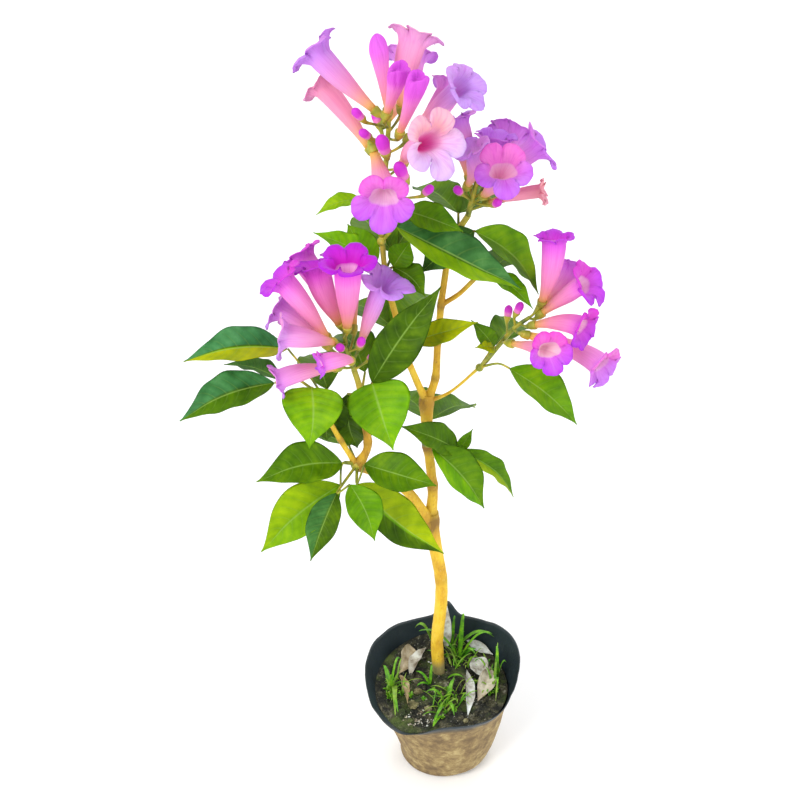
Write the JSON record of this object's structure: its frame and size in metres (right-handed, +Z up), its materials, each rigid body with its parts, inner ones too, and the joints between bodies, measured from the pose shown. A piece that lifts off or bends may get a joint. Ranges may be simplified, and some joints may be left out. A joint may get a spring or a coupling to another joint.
{
  "type": "potted garlic vine",
  "caption": "Flowering garlic vine trained as a small standard in a nursery bag of soil, with paired leaflets and heads of trumpet flowers.",
  "frame": {"origin": "middle of the flat foot of the nursery bag, which stands on the ground", "axes": "+Z up along the trunk, -Y towards the side that the plant faces, +X to the right as seen from that side"},
  "size_m": [0.3989, 0.2234, 0.8429],
  "materials": {
    "film": "thin black polythene, caked with pale mud outside",
    "soil": "moist dark potting soil",
    "bark": "ochre bark with pale pores and dark knots",
    "leaf": "glossy green leaf, paler below",
    "stalk": "olive green stalk and calyx",
    "petal": "soft magenta and lavender petal with a pink tube",
    "grass": "fresh green grass",
    "litter": "dry grey and tan dead leaf"
  },
  "bodies": {
    "root": {"crown_bloom_1": "petal", "crown_bloom_10": "petal", "crown_bloom_11": "petal", "crown_bloom_2": "petal", "crown_bloom_3": "petal", "crown_bloom_4": "petal", "crown_bloom_5": "petal", "crown_bloom_6": "petal", "crown_bloom_7": "petal", "crown_bloom_8": "petal", "crown_bloom_9": "petal", "crown_foot_leaves": "leaf", "crown_head_stalk": "stalk", "crown_leaves": "leaf", "dead_leaf_curled": "litter", "dead_leaf_left": "litter", "dead_leaf_pale": "litter", "dead_leaf_right": "litter", "dead_leaf_upright": "litter", "fork_leaves": "leaf", "grass_tuft_back": "grass", "grass_tuft_front": "grass", "grass_tuft_left": "grass", "grass_tuft_right": "grass", "high_bloom_1": "petal", "high_bloom_2": "petal", "high_bloom_3": "petal", "high_bloom_4": "petal", "high_bloom_5": "petal", "high_bloom_6": "petal", "high_bloom_7": "petal", "high_head_stalk": "stalk", "high_leaves": "leaf", "left_bloom_1": "petal", "left_bloom_10": "petal", "left_bloom_2": "petal", "left_bloom_3": "petal", "left_bloom_4": "petal", "left_bloom_5": "petal", "left_bloom_6": "petal", "left_bloom_7": "petal", "left_bloom_8": "petal", "left_bloom_9": "petal", "left_head_stalk": "stalk", "left_leaves": "leaf", "lower_leaves": "leaf", "middle_leaves": "leaf", "nursery_bag": "film", "right_bloom_1": "petal", "right_bloom_2": "petal", "right_bloom_3": "petal", "right_bloom_4": "petal", "right_bloom_5": "petal", "right_bloom_6": "petal", "right_head_stalk": "stalk", "side_leaves": "leaf", "soil": "soil", "spray_leaves": "leaf", "trunk_leaves": "leaf", "woody_stem": "bark"}
  },
  "joints": []
}
